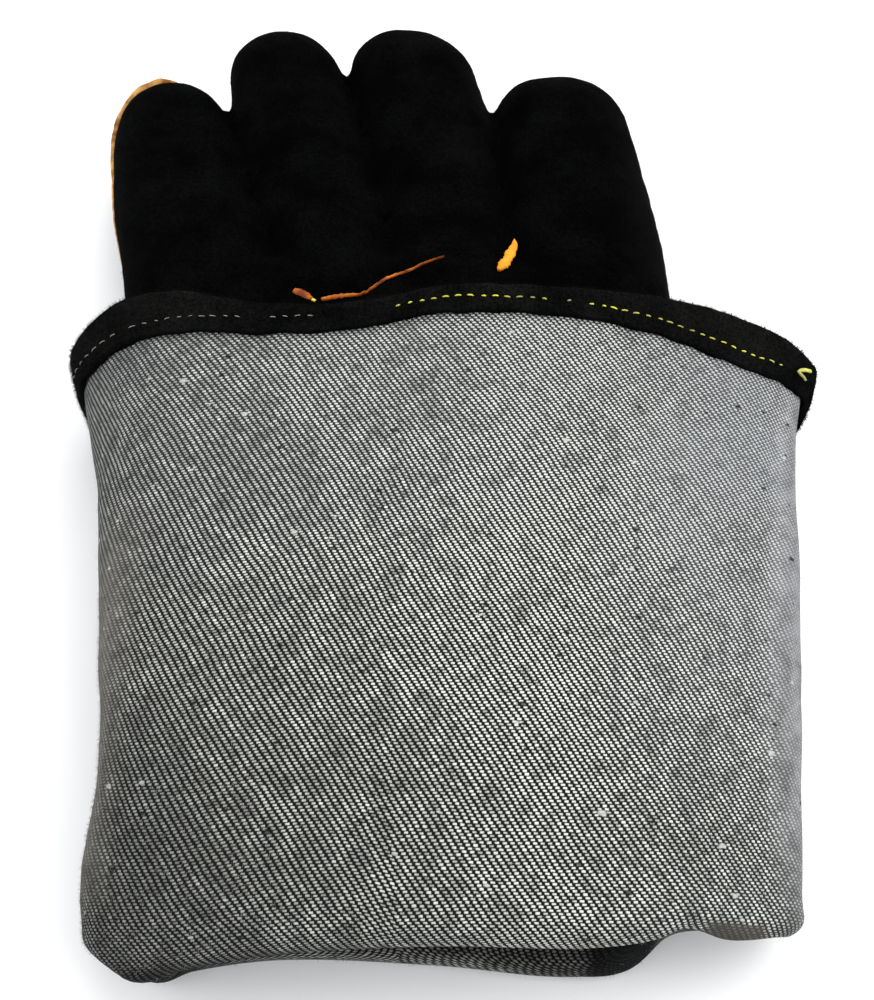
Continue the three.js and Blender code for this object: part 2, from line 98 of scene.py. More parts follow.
LAMPS = {
    "key_softbox": ((0.35, 0.60, 1.00), 1.30, 13.5),
    "left_softbox": ((-0.80, 0.10, 0.70), 0.90, 5.0),
    "right_softbox": ((0.75, -0.05, 0.55), 0.80, 4.5),
}
for name, (place, size, power) in LAMPS.items():
    lamp = bpy.data.lights.new(name, "AREA")
    lamp.size = size
    lamp.energy = power
    holder = bpy.data.objects.new(name, lamp)
    holder.location = place
    holder.rotation_euler = (-Vector(place)).to_track_quat("-Z", "Y").to_euler()
    scene.collection.objects.link(holder)

camera_data = bpy.data.cameras.new("camera")
camera_data.sensor_fit = "VERTICAL"
camera_data.sensor_height = 36
camera_data.lens = 38.7
LOOKS_DOWN = 62
camera = bpy.data.objects.new("camera", camera_data)
camera.location = (-0.000538, -0.150701, 0.249868)
camera.rotation_euler = (math.radians(90 - LOOKS_DOWN), 0, 0)
scene.collection.objects.link(camera)
scene.camera = camera


# The hand: black split cowhide 2 mm thick, palm up, cut with the ring and middle fingers' fronts as one piece.
# Its palm side and back are sewn together round the edges and turned, so that the fingers lie plump and round.

HAND_LEATHER = 2.0
WRIST = 24.0
FINGER_START = 118.0
FORK = 171.0
TIP_LENGTH = 18.5
ROUNDNESS = 2.3
SAG = 1.05

# Every table is in millimetres from the fold; this takes it to the frame's origin
TO_FRAME = np.array([-0.538, -128.176, 0.0])


def in_frame(points):
    """Points in millimetres from the fold, as metres in the frame."""
    return (np.asarray(points, float) + TO_FRAME) * 0.001


def table(columns, rows):
    """A table of named columns, read between its rows along a smooth curve."""
    data = np.array(rows, float)
    at = data[:, 0]

    def read(place):
        place = np.clip(np.asarray(place, float), at[0], at[-1])
        row = np.clip(np.searchsorted(at, place, side="right") - 1, 0, len(at) - 2)
        before = np.where(row > 0, row - 1, row + 1)
        after = np.where(row + 2 < len(at), row + 2, row)
        half = (at[row + 1] - at[row]) / 2
        pull_before = half / (at[row] - at[before])
        pull_after = half / (at[after] - at[row + 1])
        t = (place - at[row]) / (2 * half)
        weights = (
            (before, -pull_before * t**3 + 2 * pull_before * t**2 - pull_before * t),
            (row, (1 + pull_before) * t**3 - (1.5 + 2 * pull_before) * t**2 + (pull_before - 0.5) * t + 1),
            (row + 1, (-1 - pull_after) * t**3 + (1.5 + pull_after) * t**2 + 0.5 * t),
            (after, pull_after * t**3 - pull_after * t**2),
        )
        values = sum(data[index] * weight[..., None] for index, weight in weights)
        return {name: values[..., column] for column, name in enumerate(columns)}

    return read


SECTION = ("y", "left", "right", "bottom", "top", "seam", "crown", "leftPower", "rightPower", "underPower")
palm_section = table(SECTION, [
    (24, -67.6, 73.5, 4.8, 35.5, 13.7, -8, 4.1, 1.63, 5.0),
    (45, -67.0, 70.0, 4.9, 36.0, 15, -8, 4.0, 1.8, 4.5),
    (70, -70.6, 63.0, 5.0, 36.0, 16, -8, 3.6, 2.1, 4.0),
    (90, -74.2, 57.5, 5.2, 36.0, 17, -8, 3.2, 2.4, 4.0),
    (120, -79.8, 57.0, 7.2, 37.0, 19, -8, 3.0, 2.6, 4.0),
    (145, -81.8, 60.5, 7.4, 37.0, 20, -8, 3.0, 2.6, 4.0),
    (160, -83.0, 61.0, 6.0, 34.0, 19, -8, 3.0, 2.6, 4.0),
    (167, -83.0, 60.0, 8.5, 30.0, 19, -8, 3.0, 2.6, 3.0),
    (171, -80.0, 57.0, 14.0, 24.0, 19, -8, 3.0, 2.6, 3.0),
])
finger_sides = table(("y", "littleSide", "littleRing", "ringMiddle", "middleIndex", "indexSide"), [
    (118, -77.5, -34.0, -11.0, 17.0, 56.0),
    (150, -81.5, -35.5, -12.0, 19.0, 61.4),
    (168, -84.8, -42.2, -12.2, 18.9, 62.2),
    (185, -89.5, -48.9, -14.5, 18.4, 61.2),
    (205, -93.5, -54.6, -18.6, 17.5, 59.4),
    (224, -94.6, -60.2, -23.0, 16.6, 57.0),
    (234, -92.0, -62.5, -25.1, 15.4, 55.5),
    (244, -90.5, -64.4, -27.2, 13.6, 54.0),
    (266, -90.5, -66.5, -31.0, 9.7, 51.0),
])
finger_height = table(("y", "bottom", "top"), [
    (118, 10.0, 33.0),
    (150, 6.5, 37.5),
    (172, 2.0, 36.0),
    (200, 0.2, 33.5),
    (230, 0.0, 32.0),
    (266, 0.0, 31.5),
])
# Each finger's sides, the y of its tip and how square the tip is
FINGERS = {
    "little": ("littleSide", "littleRing", 241.3, 2.05),
    "ring": ("littleRing", "ringMiddle", 263.7, 2.0),
    "middle": ("ringMiddle", "middleIndex", 264.4, 1.95),
    "index": ("middleIndex", "indexSide", 243.6, 2.0),
}


def outline(row, inset, angle):
    """A point on a flattened tube's outline, set in on every side: crowned above, flat where it rests."""
    across, up = np.cos(angle), np.sin(angle)
    left = across < 0
    half_width = np.where(left, row["crown"] - row["left"], row["right"] - row["crown"]) - inset
    power = 2 / np.where(up < 0, row["underPower"], np.where(left, row["leftPower"], row["rightPower"]))
    x = row["crown"] + np.sign(across) * half_width * np.abs(across) ** power
    reach = np.abs(up) ** power
    above = row["seam"] + (row["top"] - inset - row["seam"]) * reach
    below = row["seam"] - (row["seam"] - row["bottom"] - inset) * reach * SAG
    return x, np.where(up < 0, np.maximum(below, np.maximum(row["bottom"] + inset, 0)), above)


def even_angles(row, count, start):
    """Angles from start, once round an outline, that step evenly along it."""
    fine = start + np.linspace(0, 2 * math.pi, 2881)
    x, z = outline(row, 0, fine)
    reached = np.concatenate([[0], np.cumsum(np.hypot(np.diff(x), np.diff(z)))])
    return np.interp(np.arange(count) / count * reached[-1], reached, fine)


def new_piece(name, points, faces, corners=None):
    """A mesh object from points in the frame, with its normals facing out and, where given, a UV for each corner."""
    mesh = bpy.data.meshes.new(name)
    mesh.from_pydata([tuple(point) for point in points], [], faces)
    if corners is not None:
        layer = mesh.uv_layers.new(name="cloth")
        layer.data.foreach_set("uv", np.asarray(corners, np.float32).ravel())
    shell = bmesh.new()
    shell.from_mesh(mesh)
    bmesh.ops.recalc_face_normals(shell, faces=shell.faces)
    shell.to_mesh(mesh)
    shell.free()
    mesh.shade_smooth()
    piece = bpy.data.objects.new(name, mesh)
    scene.collection.objects.link(piece)
    return piece


def skin(rings, is_ring=False):
    """Points and faces of a tube through rings of points, with closed ends or, as a ring, joined end to end."""
    count, around = rings.shape[:2]
    points = rings.reshape(-1, 3)
    index = np.arange(count * around).reshape(count, around)
    here = index if is_ring else index[:-1]
    there = np.roll(index, -1, axis=0) if is_ring else index[1:]
    quads = np.stack([here, there, np.roll(there, -1, axis=1), np.roll(here, -1, axis=1)], axis=-1)
    faces = quads.reshape(-1, 4).tolist()
    if not is_ring:
        points = np.concatenate([points, rings[:1].mean(axis=1), rings[-1:].mean(axis=1)])
        for end, ring in ((len(points) - 2, index[0]), (len(points) - 1, index[-1])):
            faces += [[end, int(ring[step]), int(ring[(step + 1) % around])] for step in range(around)]
    return points, faces


def joined(parts):
    """Several meshes' points and faces as one."""
    points, faces, total = [], [], 0
    for part_points, part_faces in parts:
        points.append(part_points)
        faces += [[corner + total for corner in face] for face in part_faces]
        total += len(part_points)
    return np.concatenate(points), faces


def finger_form(sides_of, tip, start, tip_power=ROUNDNESS, spacing=2.0, sides=64):
    """A finger as a closed tube that narrows and thins to its tip along a rounded curve."""
    tip_start = tip - TIP_LENGTH
    turns = np.linspace(0, math.pi / 2, 22)[1:-1]
    places = np.concatenate([
        np.arange(start, tip_start, spacing),
        [tip_start],
        tip_start + TIP_LENGTH * np.sin(turns) ** (2 / tip_power),
    ])
    left, right, bottom, top = sides_of(places)
    share = np.maximum((places - tip_start) / TIP_LENGTH, 0)
    narrowed = (1 - share**tip_power) ** (1 / tip_power)
    middle_x, middle_z = (left + right) / 2, (bottom + top) / 2
    angle = np.linspace(0, 2 * math.pi, sides, endpoint=False)
    power = 2 / ROUNDNESS
    across = np.sign(np.cos(angle)) * np.abs(np.cos(angle)) ** power
    up = np.sign(np.sin(angle)) * np.abs(np.sin(angle)) ** power
    rings = np.empty((len(places), sides, 3))
    rings[..., 0] = middle_x[:, None] + ((right - left) / 2 * narrowed)[:, None] * across
    rings[..., 1] = places[:, None]
    rings[..., 2] = middle_z[:, None] + ((top - bottom) / 2 * narrowed)[:, None] * up
    return skin(rings)


PRESSED = 1.0


def finger_room(left_side, right_side):
    """The sides and the height of a finger at a place along it, which presses on each finger beside it."""
    def sides_of(places):
        sides, height = finger_sides(places), finger_height(places)
        press = PRESSED * np.clip((228 - places) / 18, -0.9, 1)
        left = sides[left_side] - press * (left_side != "littleSide")
        right = sides[right_side] + press * (right_side != "indexSide")
        return left, right, height["bottom"], height["top"]
    return sides_of


MID_PALM = 75
AROUND_PALM = 150
palm_places = np.concatenate([np.arange(WRIST, 158, 3.0), np.arange(158, FORK + 0.1, 1.0)])
palm_angles = even_angles(palm_section(MID_PALM), AROUND_PALM, 0)
palm_rings = np.empty((len(palm_places), len(palm_angles), 3))
palm_rows = palm_section(palm_places[:, None] + 0 * palm_angles)
palm_rings[..., 0], palm_rings[..., 2] = outline(palm_rows, 0, palm_angles[None, :])
palm_rings[..., 1] = palm_places[:, None]
hand_parts = [skin(palm_rings)]
for left_side, right_side, tip, tip_power in FINGERS.values():
    hand_parts.append(finger_form(finger_room(left_side, right_side), tip, FINGER_START, tip_power))
hand_points, hand_faces = joined(hand_parts)
hand = new_piece("hand_leather", in_frame(hand_points), hand_faces)

# The forms become one skin, so that each finger grows out of the palm and leans on the next. Its steps are as fine
# as 200,000 triangles allow. Its steps are 1.45 mm
VOXEL = 0.00145
bpy.context.view_layer.objects.active = hand
hand.select_set(True)
hand.data.remesh_voxel_size = VOXEL
bpy.ops.object.voxel_remesh()
soften = hand.modifiers.new("soften", "SMOOTH")
soften.factor = 0.5
soften.iterations = 7
bpy.ops.object.modifier_apply(modifier=soften.name)


def soft_noise(points, size, seed):
    """Smooth random heights from -1 to 1 at points in millimetres, with lumps of that size."""
    shift = Vector((seed * 17.3, seed * 5.1, seed * 9.7))
    return np.array([noise.noise(Vector(point) / size + shift) for point in points])


# Lies of the hide: soft dents, shallow creases across the finger joints, and the sunk seam below the middle fingers
FRONT_SEAM = [
    (-35.5, 151.5), (-28.8, 148.0), (-19.0, 149.5), (-13.2, 156.5), (-7.0, 160.0), (1.3, 162.0), (10.0, 161.0),
    (19.0, 159.0),
]
JOINT_CREASES = [(-72, 192), (-84, 214), (-40, 188), (-48, 216), (-54, 236), (1, 190), (-2, 214), (-6, 236),
                 (38, 194), (37, 216)]
count = len(hand.data.vertices)
places = np.empty(count * 3)
normals = np.empty(count * 3)
hand.data.vertices.foreach_get("co", places)
hand.data.vertices.foreach_get("normal", normals)
places, normals = places.reshape(-1, 3), normals.reshape(-1, 3)
study = places * 1000 - TO_FRAME
rise = 0.55 * soft_noise(study, 20, 1) + 0.3 * soft_noise(study, 8, 2) + 0.12 * soft_noise(study, 3, 3)
on_palm_side = np.clip((normals[:, 2] - 0.1) / 0.5, 0, 1)
for crease_x, crease_y in JOINT_CREASES:
    bow = study[:, 1] - crease_y - 0.012 * (study[:, 0] - crease_x) ** 2
    beside = np.exp(-(((study[:, 0] - crease_x) / 12) ** 2))
    rise -= 0.28 * on_palm_side * beside * np.exp(-((bow / 2.2) ** 2))
seam_line = np.array(FRONT_SEAM)
seam_y = np.interp(study[:, 0], seam_line[:, 0], seam_line[:, 1])
on_seam = (study[:, 0] > -38) & (study[:, 0] < 21)
rise -= 0.8 * on_palm_side * on_seam * np.exp(-(((study[:, 1] - seam_y) / 1.6) ** 2))
near_wrist = np.clip((study[:, 1] - WRIST) / 60, 0, 1)
places += normals * (rise * near_wrist)[:, None] * 0.001
places[:, 2] = np.maximum(places[:, 2], 0.0002)
hand.data.vertices.foreach_set("co", places.ravel())

# The wrist is open, and the hide has its thickness
shell = bmesh.new()
shell.from_mesh(hand.data)
wrist_y = in_frame([0, WRIST, 0])[1]
ends = [face for face in shell.faces if face.calc_center_median().y < wrist_y + 0.0011 and face.normal.y < -0.6]
bmesh.ops.delete(shell, geom=ends, context="FACES")
shell.to_mesh(hand.data)
shell.free()
outer_faces = len(hand.data.polygons)
wall = hand.modifiers.new("hide", "SOLIDIFY")
wall.thickness = HAND_LEATHER * 0.001
wall.offset = -1
bpy.ops.object.modifier_apply(modifier=wall.name)
hand.data.shade_smooth()
hand_tree = BVHTree.FromPolygons([v.co for v in hand.data.vertices], [p.vertices for p in hand.data.polygons])
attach(hand, "root")
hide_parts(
    "palm_leather", "back_leather", "little_finger_front", "ring_finger_front", "middle_finger_front",
    "index_finger_front", "little_finger_back", "ring_finger_back", "middle_finger_back", "index_finger_back",
)


# Split cowhide, dyed black: the fleshy face of the hide, brushed to a short nap.
# It takes light almost without gloss, with a grain of 0.3 to 1 mm and slightly lighter where it is rubbed.

def split_leather(name, dark, worn, grain):
    """Brushed split leather, with its nap's grain of that size in millimetres."""
    material, tree, output = new_material(name)
    place = add(tree, "TexCoord").outputs["Object"]
    nap = add(tree, "TexNoise", {"Vector": place, "Scale": 1000 / grain, "Detail": 4.0, "Roughness": 0.7})
    lie = add(tree, "TexNoise", {"Vector": place, "Scale": 60.0, "Detail": 3.0, "Roughness": 0.6})
    both = add(tree, "Math", (nap, lie), operation="MULTIPLY")
    worn_share = add(tree, "MapRange", (both, 0.18, 0.42))
    colour = add(tree, "Mix", {0: worn_share, 6: linear(dark), 7: linear(worn)}, data_type="RGBA")
    relief = add(tree, "Bump", {"Height": nap, "Strength": 0.9, "Distance": 0.0004})
    shade = add(tree, "BsdfPrincipled", {
        "Base Color": colour, "Roughness": 0.95, "Specular IOR Level": 0.01, "Normal": relief,
        "Sheen Weight": 0.005, "Sheen Roughness": 0.5, "Sheen Tint": linear("#8c8c88"),
    })
    tree.links.new(shade.outputs[0], output.inputs["Surface"])
    return material


hand_suede = split_leather("black_split_cowhide", "#010101", "#070807", 0.9)
hand.data.materials.append(hand_suede)

# The nap's longest fibres, which soften every edge. Real ones are 0.02 mm thick, too fine to show; these are 0.1 mm.
# One generator serves the nap, the lint and the stitches in turn
random = np.random.default_rng(11)


def strewn(mesh, faces, count):
    """Random places on those faces of a mesh and the normals there, in millimetres of the frame."""
    areas = np.array([mesh.polygons[face].area for face in faces])
    picked = random.choice(faces, size=count, p=areas / areas.sum())
    corners = np.array([[mesh.vertices[v].co for v in mesh.polygons[face].vertices[:3]] for face in picked])
    shares = random.dirichlet((1.0, 1.0, 1.0), count)
    normals = np.array([mesh.polygons[face].normal for face in picked])
    return (corners * shares[..., None]).sum(axis=1) * 1000, normals


def fibres(places, normals, length, thick, lean):
    """Fine hairs that stand and lean on those places, each a closed spike of four faces, in metres."""
    count = len(places)
    side = np.cross(normals, random.normal(size=(count, 3)))
    side /= np.linalg.norm(side, axis=1)[:, None]
    other = np.cross(normals, side)
    reach = length * random.uniform(0.45, 1.15, (count, 1))
    tips = places + (normals + side * lean * random.uniform(0.3, 1.3, (count, 1))) * reach
    spikes = np.empty((count, 4, 3))
    for corner, angle in enumerate((0, 2 * math.pi / 3, 4 * math.pi / 3)):
        spikes[:, corner] = places - normals * 0.08 + (side * math.cos(angle) + other * math.sin(angle)) * thick
    spikes[:, 3] = tips
    spikes[..., 2] = np.maximum(spikes[..., 2], 0.02)
    first = 4 * np.arange(count)[:, None, None]
    faces = first + np.array([[0, 1, 3], [1, 2, 3], [2, 0, 3], [2, 1, 0]])
    return spikes.reshape(-1, 3) * 0.001, faces.reshape(-1, 3).tolist()


UNDER_CUFF = in_frame([0, 132.0, 0])[1]
HAND_FIBRES = 30000
shown = [face for face in range(outer_faces) if hand.data.polygons[face].center.y > UNDER_CUFF]
hand_nap = new_piece("hand_nap", *fibres(*strewn(hand.data, shown, HAND_FIBRES), 0.6, 0.05, 1.1))
hand_nap.data.materials.append(hand_suede)
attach(hand_nap, "root")


# The thumb: a tube of the same hide, sewn in beside the palm. It lies under the right side of the turned cuff.

thumb_section = table(("y", "left", "right", "bottom", "top"), [
    (48, 36.0, 58.0, 9.0, 23.0),
    (65, 44.0, 67.0, 7.0, 25.0),
    (85, 53.5, 74.0, 6.0, 25.0),
    (105, 59.0, 78.5, 5.8, 24.5),
    (131, 60.5, 81.0, 7.0, 25.0),
])


def thumb_room(places):
    """The thumb's sides and height at a place along it."""
    row = thumb_section(places)
    return row["left"], row["right"], row["bottom"], row["top"]


thumb_points, thumb_faces = finger_form(thumb_room, 131.0, 62.0)
thumb = new_piece("thumb_leather_skin", in_frame(thumb_points), thumb_faces)
thumb.data.materials.append(hand_suede)
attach(thumb, "root")
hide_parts("thumb_leather")


# The welts: strips of bright orange leather 1.2 mm thick, folded and sewn into the seams to guard the stitches.
# One runs round the little finger's outer side, one below the two middle fingers, and its end stands in a fork.

def sweep(path, out, half_width, half_height, sides=12):
    """A flattened tube along a path, as wide as half_width across `out` and as high as half_height along it."""
    path, out = np.asarray(path, float), np.asarray(out, float)
    along = np.gradient(path, axis=0)
    along /= np.linalg.norm(along, axis=1)[:, None]
    out = out - along * (out * along).sum(axis=1)[:, None]
    out /= np.linalg.norm(out, axis=1)[:, None]
    across = np.cross(along, out)
    angle = np.linspace(0, 2 * math.pi, sides, endpoint=False)
    wide = np.broadcast_to(half_width, len(path))[:, None, None] * np.cos(angle)[None, :, None]
    high = np.broadcast_to(half_height, len(path))[:, None, None] * np.sin(angle)[None, :, None]
    return skin(path[:, None, :] + across[:, None, :] * wide + out[:, None, :] * high)


def orange_leather(name, dark, bright):
    """Dyed smooth leather: even colour with fine pores and a soft gloss."""
    material, tree, output = new_material(name)
    place = add(tree, "TexCoord").outputs["Object"]
    pores = add(tree, "TexNoise", {"Vector": place, "Scale": 1400.0, "Detail": 3.0})
    dye = add(tree, "TexNoise", {"Vector": place, "Scale": 220.0, "Detail": 3.0})
    share = add(tree, "MapRange", (dye, 0.35, 0.65))
    colour = add(tree, "Mix", {0: share, 6: linear(dark), 7: linear(bright)}, data_type="RGBA")
    relief = add(tree, "Bump", {"Height": pores, "Strength": 0.6, "Distance": 0.0003})
    shade = add(tree, "BsdfPrincipled", {
        "Base Color": colour, "Roughness": 0.7, "Specular IOR Level": 0.2, "Normal": relief,
    })
    tree.links.new(shade.outputs[0], output.inputs["Surface"])
    return material


worn_welt = orange_leather("amber_rubbed_leather", "#75480f", "#cb9a55")
dark_welt = orange_leather("orange_dyed_leather", "#6a2e08", "#c4681c")
bright_welt = orange_leather("bright_orange_leather", "#d47c10", "#f6a424")


def smooth_step(value, low, high):
    """From 0 at low to 1 at high along a soft curve, and level on either side."""
    share = np.clip((value - low) / (high - low), 0, 1)
    return share * share * (3 - 2 * share)


def beside_hand(x, y, height, heading):
    """The point of the hand's side at that height, looked for from outside along a heading, and its normal."""
    start = Vector(in_frame([x, y, height])) - Vector((*heading, 0)) * 0.05
    hit, normal, _, _ = hand_tree.ray_cast(start, Vector((*heading, 0)))
    return np.array(hit) * 1000 - TO_FRAME, np.array(normal)


# Up the finger's side, rising into sight, then round its tip as far as the top; further on the fork hides the seam
LITTLE_CENTRE = (-77.0, 222.0)
SEAM_START = 151.0
SIDE_SEAM = 20.5
SEAM_CLIMB = 6.5
found = []
for y in np.arange(SEAM_START, LITTLE_CENTRE[1], 1.2):
    found.append(beside_hand(LITTLE_CENTRE[0], y, np.interp(y, (150, 186), (15.0, SIDE_SEAM)), (1, 0)))
for turn in np.radians(np.arange(0, 92, 2.5)):
    height = SIDE_SEAM + SEAM_CLIMB * smooth_step(turn, 0, 0.9)
    found.append(beside_hand(*LITTLE_CENTRE, height, (math.cos(turn), -math.sin(turn))))
side_path, outwards = np.array(found).transpose(1, 0, 2)
bulge = table(("y", "out"), [(170, 0.15), (180, 0.3), (196, 0.5), (208, 0.95), (218, 1.4), (230, 1.75), (241, 1.4)])
proud = bulge(side_path[:, 1])["out"] * (1 + 0.15 * soft_noise(side_path, 2.0, 9))
proud *= np.minimum(1, 0.15 + 0.12 * np.arange(len(side_path))[::-1])
side_points, side_faces = sweep(side_path, outwards, 0.8, proud)
side_welt = new_piece("little_finger_piping", in_frame(side_points), side_faces)
side_welt.data.materials.append(worn_welt)
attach(side_welt, "root")
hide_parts("little_finger_welt")


def on_hand(x, y, lift=0.0):
    """The point of the hand's upper face at that place, in millimetres from the fold."""
    start = Vector(in_frame([x, y, 60.0]))
    hit = hand_tree.ray_cast(start, Vector((0, 0, -1)))[0]
    return np.array([x, y, hit.z * 1000 + lift])


def read_evenly(rows, count):
    """The columns of a few rows, read at that many even steps from the first row to the last."""
    rows = np.array(rows)
    steps = np.linspace(0, len(rows) - 1, count)
    return [np.interp(steps, np.arange(len(rows)), rows[:, column]) for column in range(3)]


# The welt below the middle fingers shows as a short wedge and then as a thin line that climbs to the fork
WEDGE = [(-36.0, 151.5, 0.8), (-34.6, 150.6, 1.15), (-33.0, 149.5, 1.1), (-31.8, 148.6, 0.75), (-31.2, 148.1, 0.4)]
LINE = [(-28.9, 148.0, 0.3), (-27.4, 148.1, 0.6), (-24.0, 148.5, 0.68), (-21.0, 149.0, 0.4), (-19.2, 149.4, 0.2),
        (-17.7, 150.3, 0.22), (-15.6, 152.6, 0.3), (-13.2, 155.0, 0.36), (-10.2, 157.2, 0.46), (-6.6, 158.6, 0.4),
        (-2.6, 159.9, 0.26), (0.2, 160.8, 0.2), (1.8, 161.3, 0.12)]
welt_parts = []
for stretch in (WEDGE, LINE):
    across, along, wide = read_evenly(stretch, 8 * len(stretch))
    path = np.array([on_hand(x, y, 0.15) for x, y in zip(across, along)])
    ragged = 1 + 0.4 * soft_noise(path, 0.8, 7)
    welt_parts.append(sweep(path, np.tile([0, 0, 1.0], (len(path), 1)), wide * ragged, 0.55 * ragged))
front_points, front_faces = joined(welt_parts)
front_welt = new_piece("middle_fingers_piping", in_frame(front_points), front_faces)
front_welt.data.materials.append(dark_welt)
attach(front_welt, "root")
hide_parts("middle_fingers_welt")

# Its loose end, a small leaf with ragged edges
LEAF = [(20.2, 169.9, 0.25), (20.3, 168.2, 0.95), (19.6, 166.6, 1.25), (18.9, 165.0, 1.35), (18.2, 163.3, 1.2),
        (17.2, 161.6, 1.45), (16.2, 160.2, 1.1), (15.9, 159.5, 0.4)]
across, along, wide = read_evenly(LEAF, 40)
leaf_path = np.array([[x, y, max(on_hand(x, y)[2] + 0.5, 33.0)] for x, y in zip(across, along)])
leaf_wide = wide * (1 + 0.35 * soft_noise(leaf_path, 0.9, 8))
leaf_points, leaf_faces = sweep(leaf_path, np.tile([0.1, 0, 1.0], (len(leaf_path), 1)), leaf_wide, 0.6)
fork_leaf = new_piece("fork_piping_end", in_frame(leaf_points), leaf_faces)
fork_leaf.data.materials.append(bright_welt)
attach(fork_leaf, "root")
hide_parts("fork_welt")


# The cuff's leather: a long gauntlet of the same hide, 1.8 mm thick, turned inside out over the hand.
# It runs from the wrist seam to the fold and back to the hem, inside the lining, and shows only in the mouth.

DENIM = 1.2
GAP = 0.3
CUFF_LEATHER = 1.8
CUFF_WALL = DENIM + GAP + CUFF_LEATHER
FACE_GAP = 1.5
FOLD_RADIUS = CUFF_WALL + FACE_GAP / 2
NEAR_FOLD = 4
MID_CUFF = 75
NEAR_HEM = 140
ROUND_CUFF = 300

cuff_section = table(SECTION, [
    (-6, -69.0, 72.6, 0.0, 31, 11, -8, 2.8, 2.0, 5),
    (0, -71.3, 75.0, 0.0, 34, 12, -8, 2.9, 1.9, 5),
    (12, -72.8, 76.4, 0.0, 38, 13, -8, 3.4, 1.7, 5),
    (30, -71.0, 79.0, 0.0, 41, 14, -8, 4.4, 1.6, 5),
    (60, -74.4, 83.3, 0.0, 42, 15, -8, 4.4, 1.6, 5),
    (90, -79.3, 87.0, 0.0, 43, 17, -6, 3.8, 1.6, 5),
    (106, -83.2, 89.0, 0.0, 44, 17, -4, 3.4, 1.6, 5),
    (120, -87.0, 91.0, 1.5, 46, 18, -2, 3.2, 1.6, 5),
    (135, -91.0, 95.0, 1.5, 49, 19, 2, 2.9, 1.6, 5),
    (150, -95.0, 99.0, 1.5, 50, 19, 4, 2.8, 1.6, 5),
])
fold_line = table(("x", "front", "back"), [
    (-74, 0.5, 0.5), (-66, -7.0, -6.0), (-56, -5.5, -4.0), (-36, -3.0, -1.8), (0, -1.5, -2.8), (32, -1.5, -5.0),
    (44, 0.0, -3.5), (51, 2.2, 2.5), (62, 0.4, 4.0), (77, 2.0, 2.0),
])
hem_line = table(("x", "front", "back", "leg"), [
    (-90, 135.0, 133.0, 10.2), (-83, 137.5, 132.0, 10.8), (-76, 140.2, 131.0, 11.0), (-62, 140.4, 130.0, 9.6),
    (-50, 136.8, 129.0, 6.8), (-38, 134.4, 130.0, 5.8), (-26, 133.6, 131.0, 5.0), (-12, 135.3, 131.6, 5.2),
    (0, 138.2, 132.0, 5.4), (18, 139.6, 131.6, 5.6), (36, 140.6, 131.0, 6.2), (50, 141.4, 130.0, 7.8),
    (64, 141.2, 129.0, 9.8), (76, 140.0, 128.0, 10.8), (86, 138.6, 129.6, 9.6), (94, 136.6, 131.5, 8.2),
])
cuff_angles = even_angles(cuff_section(MID_CUFF), ROUND_CUFF, -math.pi / 2)


def line_at(line, y):
    """Where the fold or the hem lies at each angle round the cuff: on its front above, on its back below."""
    x, _ = outline(cuff_section(y + 0 * cuff_angles), 0, cuff_angles)
    row = line(x)
    return np.where(np.sin(cuff_angles) < 0, row["back"], row["front"]), row.get("leg")


RIDGE = 20.5
GROOVE = 24.5


def cuff_relief(x, y, z):
    """How the cloth swells and sinks, in millimetres: slack waves, a ridge along the right side seam, none below."""
    flat = np.column_stack([x.ravel(), y.ravel(), z.ravel() * 0.6])
    slack = 0.75 * soft_noise(flat * [1, 0.6, 1], 26, 4) + 0.35 * soft_noise(flat, 11, 5)
    rumple = 0.3 * soft_noise(flat * [0.55, 1, 1], 5, 6) * np.exp(-((flat[:, 1] / 16) ** 2))
    rise = (slack + rumple).reshape(x.shape)
    seam = 0.55 * np.exp(-(((z - RIDGE) / 1.5) ** 2)) - 0.5 * np.exp(-(((z - GROOVE) / 1.0) ** 2))
    beside = smooth_step(x, 70, 80)
    lifted = smooth_step(z, 2.0, 9.0)
    return (rise + seam * beside * smooth_step(y, 2, 14) * (1 - smooth_step(y, 112, 128))) * lifted


def turned_rows(depth, outer_steps=84, fold_steps=18, inner_steps=12):
    """The path of one face of a layer: from the hem to the fold, round it and back to the wrist seam."""
    fold = line_at(fold_line, NEAR_FOLD)[0][:, None] + FOLD_RADIUS
    hem = line_at(hem_line, NEAR_HEM)[0][:, None]
    share = np.linspace(0, 1, outer_steps, endpoint=False)[None, :]
    outer = hem + (fold - hem) * share
    turn = np.linspace(0, math.pi, fold_steps)[None, :]
    radius = FOLD_RADIUS - depth
    inner = fold + (WRIST - GAP / 2 - fold) * np.linspace(0, 1, inner_steps + 1)[None, 1:]
    y = np.hstack([outer, fold - radius * np.sin(turn), inner])
    at = np.hstack([outer, fold - FOLD_RADIUS * np.sin(turn), inner])
    inset = np.hstack([
        depth + 0 * outer,
        FOLD_RADIUS - radius * np.cos(turn) + 0 * fold,
        2 * FOLD_RADIUS - depth + 0 * inner,
    ])
    return y, at, inset


def placed(y, at, inset):
    """Those paths as points on the cuff, one row for each angle."""
    angle = np.repeat(cuff_angles[:, None], y.shape[1], axis=1)
    rows = cuff_section(at)
    x, z = outline(rows, inset, angle)
    relief = cuff_relief(x, at, z)
    x, z = outline(rows, inset - relief, angle)
    return np.stack([x, y, z], axis=-1)


